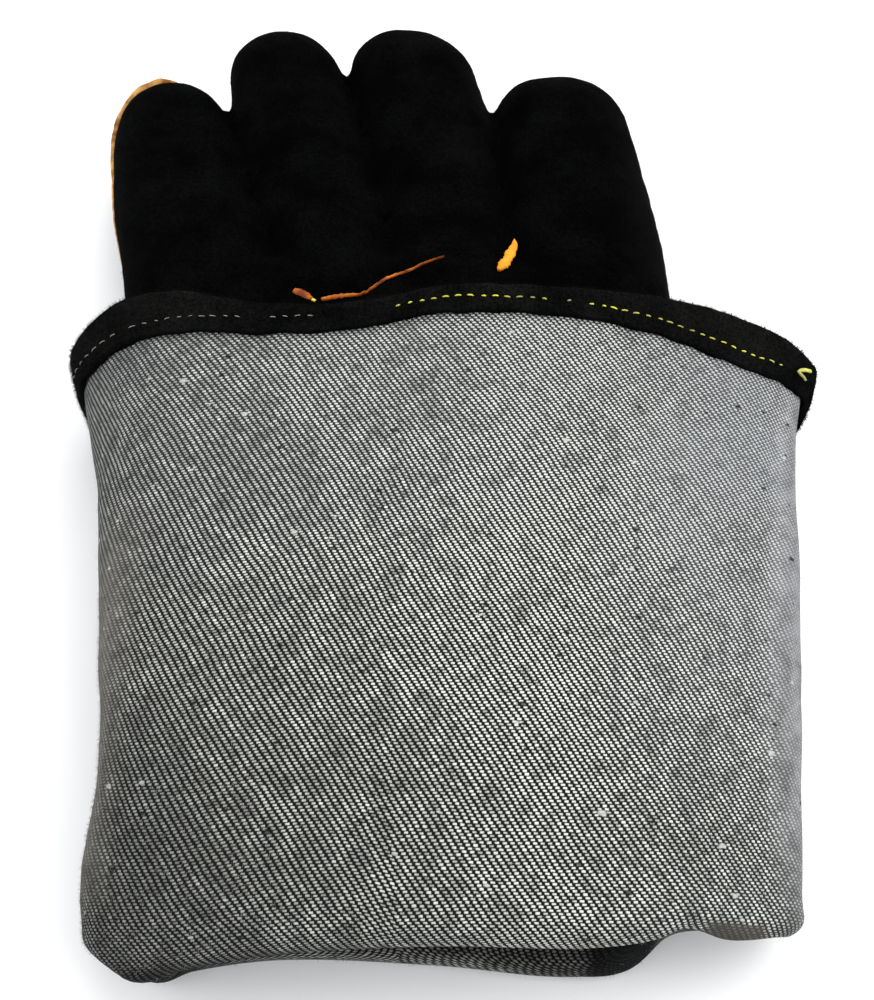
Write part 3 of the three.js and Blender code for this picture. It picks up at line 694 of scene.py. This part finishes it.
def cuff_layer(outer_depth, thickness):
    """A layer of the cuff as a closed ring of points, and its cloth's own measure across and along."""
    outside = placed(*turned_rows(outer_depth))
    inside = placed(*turned_rows(outer_depth + thickness))
    points = np.concatenate([outside, inside[:, ::-1]], axis=1)
    steps = np.linalg.norm(np.roll(outside, -1, axis=0) - outside, axis=2)
    across = np.vstack([np.zeros((1, steps.shape[1])), np.cumsum(steps, axis=0)])
    across -= across[ROUND_CUFF // 2]
    run = np.linalg.norm(np.diff(outside, axis=1), axis=2)
    along = np.hstack([np.zeros((ROUND_CUFF, 1)), np.cumsum(run, axis=1)]) - outside[:, :1, 1]
    along = np.vstack([along, along[:1]])
    across = np.hstack([across, across[:, ::-1], across[:, :1]])
    along = np.hstack([along, along[:, ::-1], along[:, :1]])
    cloth = np.stack([across, along], axis=-1)
    corners = np.stack([cloth[:-1, :-1], cloth[1:, :-1], cloth[1:, 1:], cloth[:-1, 1:]], axis=2)
    return points, corners.reshape(-1, 2)


cuff_points, cuff_faces = skin(cuff_layer(DENIM + GAP, CUFF_LEATHER)[0], is_ring=True)
cuff_hide = new_piece("cuff_hide", in_frame(cuff_points), cuff_faces)
cuff_hide.data.materials.append(hand_suede)
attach(cuff_hide, "root")
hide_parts("cuff_leather_front", "cuff_leather_back")


# The lining: grey denim, a 3/1 twill of pale weft over black warp, sewn inside the cuff and now turned outside.
# It wraps round the fold and lies on the leather. A repeat of four warp threads is 1.5 mm, a weft thread 0.62 mm.

TWILL_REPEAT = 1.5
WEFT_ROW = 0.62
TWILL_STEP = 0.28
EVEN, SOFT = "LINEAR", "SMOOTHSTEP"


def product(tree, *steps):
    """Several steps multiplied, each from a value: its range's two ends, what they lead to, and the way between."""
    share = 1.0
    for *step, way in steps:
        share = add(tree, "Math", (share, add(tree, "MapRange", step, interpolation_type=way)), operation="MULTIPLY")
    return share


def twill_denim():
    """Pale weft floats over three black warp threads and dives under the fourth, one thread further each row."""
    material, tree, output = new_material("grey_twill_denim")
    flat = add(tree, "UVMap", uv_map="cloth")
    place = add(tree, "TexCoord").outputs["Object"]
    x, y, z = add(tree, "SeparateXYZ", (place,)).outputs

    # The cloth's own measures in millimetres: leftwards from the middle of its top, and from the hem at -136 to the
    # fold at 0 and on inside
    round_cuff, to_fold, _ = add(tree, "SeparateXYZ", (flat,)).outputs

    # The threads wander by a few tenths of a millimetre, as in a soft well-used cloth
    moved = flat
    for size, reach in ((34.0, 1.1), (7.0, 0.34), (1.2, 0.19)):
        lumps = {"Vector": flat, "Scale": 1 / size, "Detail": 2.0, "Roughness": 0.6}
        offset = add(tree, "TexNoise", lumps, noise_dimensions="2D").outputs[1]
        offset = add(tree, "VectorMath", (offset, (0.5, 0.5, 0.5)), operation="SUBTRACT")
        offset = add(tree, "VectorMath", {0: offset, "Scale": reach}, operation="SCALE")
        moved = add(tree, "VectorMath", (moved, offset), operation="ADD")
    across, along, _ = add(tree, "SeparateXYZ", (moved,)).outputs

    # The cloth was pulled askew when it was turned: its ribs lean over more near the hem and less near the fold
    towards_hem = add(tree, "MapRange", (along, -136.0, 0.0, 1.3, -1.0))
    from_middle = add(tree, "Math", (towards_hem,), operation="ABSOLUTE")
    skew = add(tree, "Math", (towards_hem, 0.79), operation="MULTIPLY")
    skew = add(tree, "Math", (add(tree, "Math", (from_middle, 4.0), operation="POWER"), 2.75, skew),
               operation="MULTIPLY_ADD")
    row = add(tree, "Math", (along, WEFT_ROW), operation="DIVIDE")
    row_number = add(tree, "Math", (row,), operation="FLOOR")
    repeat = add(tree, "Math", (across, TWILL_REPEAT), operation="DIVIDE")
    repeat = add(tree, "Math", (repeat, skew), operation="SUBTRACT")
    repeat = add(tree, "Math", (row_number, TWILL_STEP, repeat), operation="MULTIPLY_ADD")
    phase = add(tree, "Math", (repeat,), operation="FRACT")

    # Each weft thread is thicker and paler in places
    on_thread = add(tree, "CombineXYZ", (add(tree, "Math", (across, 0.3), operation="MULTIPLY"), row_number))
    slub = add(tree, "TexNoise", {"Vector": on_thread, "Scale": 1.0, "Detail": 2.0, "Roughness": 0.6},
               noise_dimensions="2D")
    off_middle = add(tree, "Math", (add(tree, "Math", (row,), operation="FRACT"), 0.5), operation="SUBTRACT")
    off_middle = add(tree, "Math", (off_middle,), operation="ABSOLUTE")
    thin = add(tree, "MapRange", (slub, 0.25, 0.75, 1.3, 0.8))
    off_middle = add(tree, "Math", (off_middle, thin), operation="MULTIPLY")
    pale_share = product(tree, (phase, 0.0, 0.13, 0.0, 1.0, SOFT), (phase, 0.5, 0.68, 1.0, 0.0, SOFT),
                         (off_middle, 0.18, 0.48, 1.0, 0.05, SOFT))

    # Clouds of more and less faded cloth, a thumb's width and a few threads across. Painted shade darkens it to the
    # left, towards the fold and most at the lower left; the warp is paler towards the upper right and towards the hem
    cloud = add(tree, "TexNoise", {"Vector": place, "Scale": 1 / 0.034, "Detail": 5.0, "Roughness": 0.6})
    mottle = add(tree, "TexNoise", {"Vector": place, "Scale": 1 / 0.0045, "Detail": 3.0, "Roughness": 0.6})
    # Painted shade: the darker lower left corner, and the steps along x and y in the product below
    corner = add(tree, "Math", (add(tree, "MapRange", (x, -0.075, -0.035, 0.7, 1.0)),
                                add(tree, "MapRange", (y, -0.115, -0.08, 0.7, 1.0))), operation="MAXIMUM")
    weft_tone_and_painted_falloff = product(
        tree, (slub, 0.25, 0.75, 0.5, 1.35, EVEN), (cloud, 0.3, 0.7, 0.72, 1.24, EVEN),
        (mottle, 0.3, 0.7, 0.62, 1.32, EVEN), (x, -0.088, 0.02, 0.32, 1.0, EVEN), (y, -0.13, -0.01, 0.88, 1.36, EVEN),
    )
    weft_tone_and_painted_falloff = add(tree, "Math", (weft_tone_and_painted_falloff, corner), operation="MULTIPLY")
    cover = add(tree, "Math", (pale_share, weft_tone_and_painted_falloff), operation="MULTIPLY", use_clamp=True)
    at_right = product(tree, (x, 0.02, 0.074, 0.0, 1.0, EVEN), (y, -0.11, -0.02, 0.25, 1.0, EVEN),
                       (cloud, 0.3, 0.6, 0.55, 1.0, EVEN))
    at_fingers = add(tree, "MapRange", (y, -0.07, 0.0, 0.04, 0.3))
    paler_warp = add(tree, "Math", (at_right, at_fingers), operation="MAXIMUM")
    warp = add(tree, "Mix", {0: paler_warp, 6: linear("#0c0e0a"), 7: linear("#505253")}, data_type="RGBA")
    weft = add(tree, "Mix", {0: paler_warp, 6: linear("#cfd0c8"), 7: linear("#a6a7a8")}, data_type="RGBA")
    colour = add(tree, "Mix", {0: cover, 6: warp, 7: weft}, data_type="RGBA")

    # Down the left side it is rubbed to a grey-brown fluff, and down the right side to a pale one
    off_top = add(tree, "Math", (round_cuff,), operation="ABSOLUTE")
    on_front = (off_top, 88.0, 104.0, 1.0, 0.0, SOFT)
    down_left = product(tree, (round_cuff, 70.0, 84.0, 0.0, 0.65, SOFT), (to_fold, -96.0, -60.0, 0.0, 1.0, SOFT),
                        (to_fold, -12.0, 0.0, 1.0, 0.0, SOFT), on_front)
    from_right = add(tree, "Math", (round_cuff, -1.0), operation="MULTIPLY")
    from_right = add(tree, "Math", (to_fold, 0.09, from_right), operation="MULTIPLY_ADD")
    haze = product(tree, (from_right, 58.0, 75.0, 0.0, 0.72, SOFT), (cloud, 0.3, 0.6, 0.6, 1.0, EVEN), on_front)
    brown_share = add(tree, "MapRange", (mottle, 0.3, 0.7))
    brown = add(tree, "Mix", {0: brown_share, 6: linear("#59554f"), 7: linear("#75726b")}, data_type="RGBA")
    pale_part = add(tree, "MapRange", (mottle, 0.35, 0.65))
    pale = add(tree, "Mix", {0: pale_part, 6: linear("#979899"), 7: linear("#c4c5c7")}, data_type="RGBA")

    # Painted shade darkens it below the right side seam, round the fold and deep in the mouth's open corner.
    # Where the fold lifts near the right corner its edge is rubbed brown
    painted_shade_below_seam = product(tree, (x, 0.064, 0.074, 0.0, 0.4, SOFT), (z, 0.021, 0.024, 1.0, 0.0, SOFT))
    inside = product(tree, (to_fold, 6.0, 12.0, 0.0, 0.75, SOFT))
    painted_pocket_shadow = product(tree, (z, 0.018, 0.026, 1.0, 0.0, EVEN), (to_fold, -5.0, 5.0, 0.0, 1.0, SOFT),
                        (x, 0.020, 0.032, 0.0, 0.97, EVEN), (x, 0.056, 0.066, 1.0, 0.0, EVEN))
    shaded = add(tree, "Math", (painted_shade_below_seam, inside), operation="MAXIMUM")
    shaded = add(tree, "Math", (shaded, painted_pocket_shadow), operation="MAXIMUM")
    lifted = product(tree, (x, 0.050, 0.054, 0.0, 0.85, SOFT), (x, 0.063, 0.067, 1.0, 0.0, SOFT), on_front,
                     (to_fold, -1.6, -0.4, 0.0, 1.0, SOFT))

    # Dark slubs and white lint are caught in it here and there
    long_knots = add(tree, "VectorMath", (moved, (0.8, 1.3, 1.0)), operation="MULTIPLY")
    knots = add(tree, "TexVoronoi", {"Vector": long_knots, "Scale": 0.15}, voronoi_dimensions="2D").outputs
    draw = add(tree, "SeparateColor", (knots["Color"],)).outputs
    knot_size = add(tree, "MapRange", (add(tree, "Math", (draw[1], 3.0), operation="POWER"), 0.0, 1.0, 0.06, 0.16))
    off_knot = add(tree, "Math", (knots["Distance"], knot_size), operation="DIVIDE")
    knot = product(tree, (off_knot, 0.4, 1.0, 0.85, 0.0, SOFT))
    is_dark = add(tree, "Math", (draw[0], 0.78), operation="GREATER_THAN")
    is_pale = add(tree, "Math", (draw[0], 0.1), operation="LESS_THAN")
    dark_knot = add(tree, "Math", (knot, is_dark), operation="MULTIPLY")
    pale_knot = add(tree, "Math", (knot, is_pale), operation="MULTIPLY")

    # The patches go on in turn; the near black one is the painted shade
    for share, tone in (
        (down_left, brown), (haze, pale), (shaded, linear("#0e0f0e")), (lifted, linear("#47443d")),
        (dark_knot, linear("#101210")), (pale_knot, linear("#b4b4ae")),
    ):
        colour = add(tree, "Mix", {0: share, 6: colour, 7: tone}, data_type="RGBA")

    height = add(tree, "Math", (pale_share, slub), operation="MULTIPLY")
    relief = add(tree, "Bump", {"Height": height, "Strength": 0.7, "Distance": 0.0003})
    shade = add(tree, "BsdfPrincipled", {
        "Base Color": colour, "Roughness": 0.92, "Specular IOR Level": 0.05, "Normal": relief,
        "Sheen Weight": 0.01, "Sheen Roughness": 0.4,
    })
    tree.links.new(shade.outputs[0], output.inputs["Surface"])
    return material


denim = twill_denim()
denim_points, denim_corners = cuff_layer(0.0, DENIM)
lining_points, lining_faces = skin(denim_points, is_ring=True)
lining = new_piece("turned_lining", in_frame(lining_points), lining_faces, denim_corners)
lining.data.materials.append(denim)
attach(lining, "root")
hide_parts("denim_lining_front", "denim_lining_back")

# Loose cotton fibres stand off the cloth, thickest down the rubbed left side
AROUND_LINING = denim_points.shape[1]
OUTER_ROWS = 100
outer_cloth = [face for face in range(AROUND_LINING * ROUND_CUFF) if face % AROUND_LINING < OUTER_ROWS]
rubbed = [face for face in outer_cloth if 0.62 < (face // AROUND_LINING) / ROUND_CUFF < 0.8
          and 40 < face % AROUND_LINING < 88]
LINT, RUBBED_LINT = 9000, 6000
strewn_over = [np.concatenate(pair) for pair in zip(
    strewn(lining.data, outer_cloth, LINT), strewn(lining.data, rubbed, RUBBED_LINT))]
lint = new_piece("lining_lint", *fibres(*strewn_over, 0.7, 0.045, 1.6))


def cotton_lint():
    """Loose cotton: grey fluff with a little brown dust in it, without any gloss."""
    material, tree, output = new_material("grey_cotton_lint")
    place = add(tree, "TexCoord").outputs["Object"]
    tone = add(tree, "TexNoise", {"Vector": place, "Scale": 900.0, "Detail": 2.0})
    share = add(tree, "MapRange", (tone, 0.35, 0.65))
    colour = add(tree, "Mix", {0: share, 6: linear("#3c3a36"), 7: linear("#a4a29b")}, data_type="RGBA")
    shade = add(tree, "BsdfPrincipled", {"Base Color": colour, "Roughness": 0.95, "Specular IOR Level": 0.1})
    tree.links.new(shade.outputs[0], output.inputs["Surface"])
    return material


lint.data.materials.append(cotton_lint())
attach(lint, "root")


# The hem binding: a strip of thin black leather 1.2 mm thick, folded over the raw edges of both layers.
# It is rolled over unevenly, so that more of its outer leg shows at the sides than in the middle.

BINDING = 1.2
INNER_LEG = 6.0


def rolled_out(hem):
    """How far the strip is rolled away from the cloth at each angle: most at the right end."""
    hem_x, _ = outline(cuff_section(hem), 0, cuff_angles)
    return 0.3 + 1.5 * smooth_step(hem_x, 74, 90) + 0.5 * smooth_step(-hem_x, 78, 90)


def binding_profile():
    """The strip's section at each angle: the outer leg, the rounded edge and the inner leg, out and back."""
    middle = CUFF_WALL / 2
    hem, leg = line_at(hem_line, NEAR_HEM)
    inner_radius, outer_radius = middle + GAP, middle + GAP + BINDING
    legs = np.linspace(1, 0, 14, endpoint=False)[None, :]
    back = np.linspace(0, 1, 9)[None, 1:]
    turn = np.linspace(0, math.pi, 16)[None, :]
    ragged = leg + 0.3 * np.sin(cuff_angles * 37) * np.sin(cuff_angles * 11)
    ragged = ragged[:, None]
    one = np.ones_like(ragged)
    rolled = rolled_out(hem)[:, None]
    plump = rolled * np.sin(np.linspace(0, math.pi / 2, 14, endpoint=False))[None, :]
    over = rolled * (1 + np.cos(turn)) / 2
    y = np.hstack([
        -ragged * legs, outer_radius * np.sin(turn) * one, -INNER_LEG * back * one,
        -INNER_LEG * back[:, ::-1] * one, inner_radius * np.sin(turn[:, ::-1]) * one, -ragged * legs[:, ::-1],
    ])
    inset = np.hstack([
        (-GAP - BINDING - plump) * one, middle - outer_radius * np.cos(turn) - over,
        (middle + outer_radius + 0 * back) * one, (middle + inner_radius + 0 * back) * one,
        middle - inner_radius * np.cos(turn[:, ::-1]) - over[:, ::-1], -GAP - plump[:, ::-1],
    ])
    return hem[:, None] + y, hem[:, None] + np.minimum(y, 0), inset


strip_points, strip_faces = skin(placed(*binding_profile()), is_ring=True)
# The split leather's edge is lumpy where it was folded and pulled tight by the stitches
outwards = strip_points - [2.0, 0, 20.0]
outwards[:, 1] = 0.6 * np.abs(outwards[:, 2])
outwards /= np.linalg.norm(outwards, axis=1)[:, None]
strip_points = strip_points + outwards * (0.3 * soft_noise(strip_points, 2.4, 12))[:, None]
strip_points[:, 2] = np.maximum(strip_points[:, 2], 0)
strip = new_piece("hem_strip", in_frame(strip_points), strip_faces)
strip_leather = split_leather("black_binding_leather", "#050605", "#161715", 0.7)
strip.data.materials.append(strip_leather)
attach(strip, "root")
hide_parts("hem_binding")

PROFILE = strip_points.shape[0] // ROUND_CUFF
OUTER_LEG = 29
HEM_FIBRES = 22000
outer_half = [face for face in range(PROFILE * ROUND_CUFF) if face % PROFILE < OUTER_LEG]
hem_nap = new_piece("hem_nap", *fibres(*strewn(strip.data, outer_half, HEM_FIBRES), 0.9, 0.065, 0.9))
hem_nap.data.materials.append(strip_leather)
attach(hem_nap, "root")


# The stitches: one row of yellow polyester thread 0.4 mm thick, a stitch every 2.9 mm, through the strip and cuff.
# At the right-hand end of the row a thread end was left, which stands up as a small hook.

def yellow_thread():
    """Twisted polyester: bright yellow with a greenish cast, a soft gloss and fine turns, gone grey at the left."""
    material, tree, output = new_material("yellow_polyester_thread")
    place = add(tree, "TexCoord").outputs["Object"]
    dirt = add(tree, "TexNoise", {"Vector": place, "Scale": 90.0, "Detail": 2.0})
    twist = add(tree, "TexNoise", {"Vector": place, "Scale": 5000.0})
    share = add(tree, "MapRange", (dirt, 0.35, 0.6))
    colour = add(tree, "Mix", {0: share, 6: linear("#8c8c48"), 7: linear("#d8d62c")}, data_type="RGBA")
    x, y, _ = add(tree, "SeparateXYZ", (place,)).outputs
    at_left = add(tree, "MapRange", (x, -0.004, -0.022))
    on_hem = add(tree, "MapRange", (y, 0.014, 0.011))
    grey = add(tree, "Math", (at_left, on_hem), operation="MULTIPLY")
    colour = add(tree, "Mix", {0: grey, 6: colour, 7: linear("#7f8073")}, data_type="RGBA")
    relief = add(tree, "Bump", {"Height": twist, "Strength": 0.5, "Distance": 0.0001})
    shade = add(tree, "BsdfPrincipled", {"Base Color": colour, "Roughness": 0.5, "Normal": relief})
    tree.links.new(shade.outputs[0], output.inputs["Surface"])
    return material


STITCH_PITCH = 2.9
STITCH_LENGTH = 1.5
FROM_EDGE = 3.4
SKIPPED = 0.06
RINGS = 5
hem, leg = line_at(hem_line, NEAR_HEM)
row_y = (hem - leg + FROM_EDGE)[:, None]
on_strip = GAP + BINDING + rolled_out(hem) * np.sin(math.pi / 2 * FROM_EDGE / leg)
stitch_row = placed(row_y, row_y, -on_strip[:, None] - 0.1)[:, 0]
stitch_row = np.vstack([stitch_row, stitch_row[:1]])
reached = np.concatenate([[0], np.cumsum(np.linalg.norm(np.diff(stitch_row, axis=0), axis=1))])


def on_row(distance):
    """The point of the stitch row at that distance along it."""
    return np.array([np.interp(distance, reached, stitch_row[:, axis]) for axis in range(3)])


# No two stitches are alike. A few are missing, and some are pulled in or hidden under the rolled strip
stitches = []
for start in np.arange(0.5, reached[-1] - STITCH_PITCH, STITCH_PITCH):
    length = STITCH_LENGTH * random.uniform(0.5, 1.1)
    slant, sunk = random.uniform(-0.16, 0.16), random.uniform(-0.08, 0.2)
    at = on_row(start)
    pulled_in = -27 < at[0] < -11 and at[2] > 20
    rolled_under = 4 < at[2] < 30 and not -76 < at[0] < 86
    thick = 0.2 if at[0] > -10 else 0.12
    if random.uniform() < SKIPPED or pulled_in or rolled_under:
        continue
    path = np.array([on_row(distance) for distance in np.linspace(start, start + length, RINGS)])
    path[:, 1] += slant * np.linspace(-1, 1, RINGS)
    middle = path.mean(axis=0)
    out = np.array([middle[0], 0, middle[2] - 15.0])
    out /= np.linalg.norm(out)
    arch = 0.2 * np.sin(np.linspace(0, math.pi, RINGS))
    path = path + out * (arch - sunk)[:, None]
    wide = thick * np.array([0.6, 1, 1, 1, 0.6])
    stitches.append(sweep(path, np.tile(out, (RINGS, 1)), wide, 0.85 * thick, sides=8))

# The thread end: up out of the last stitch, bent back on itself
end_of_row = np.array([90.2, 131.6, 27.6])
hook = end_of_row + np.array([(3.6, 1.0, -0.7), (1.9, 0.8, 0.2), (0.7, 0.4, 0.6), (0.0, 0.0, 0.6), (0.5, -0.7, 0.4),
                              (1.2, -1.5, 0.2), (1.7, -2.1, -0.3)])
stitches.append(sweep(hook, np.tile([0.3, 0, 1.0], (7, 1)), (0.5, 0.55, 0.55, 0.5, 0.45, 0.35, 0.25), 0.3, sides=8))
# One stitch of the hand's own seam shows at the end of the wedge
seam_stitch = np.array([on_hand(x, y, 0.3) for x, y in ((-31.2, 147.9), (-30.8, 147.6), (-30.4, 147.3))])
stitches.append(sweep(seam_stitch, np.tile([0, 0, 1.0], (3, 1)), 0.4, 0.25, sides=8))
stitch_points, stitch_faces = joined(stitches)
stitch_points[:, 2] = np.maximum(stitch_points[:, 2], 0)
stitching = new_piece("hem_stitches", in_frame(stitch_points), stitch_faces)
stitching.data.materials.append(yellow_thread())
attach(stitching, "root")

bpy.context.view_layer.update()
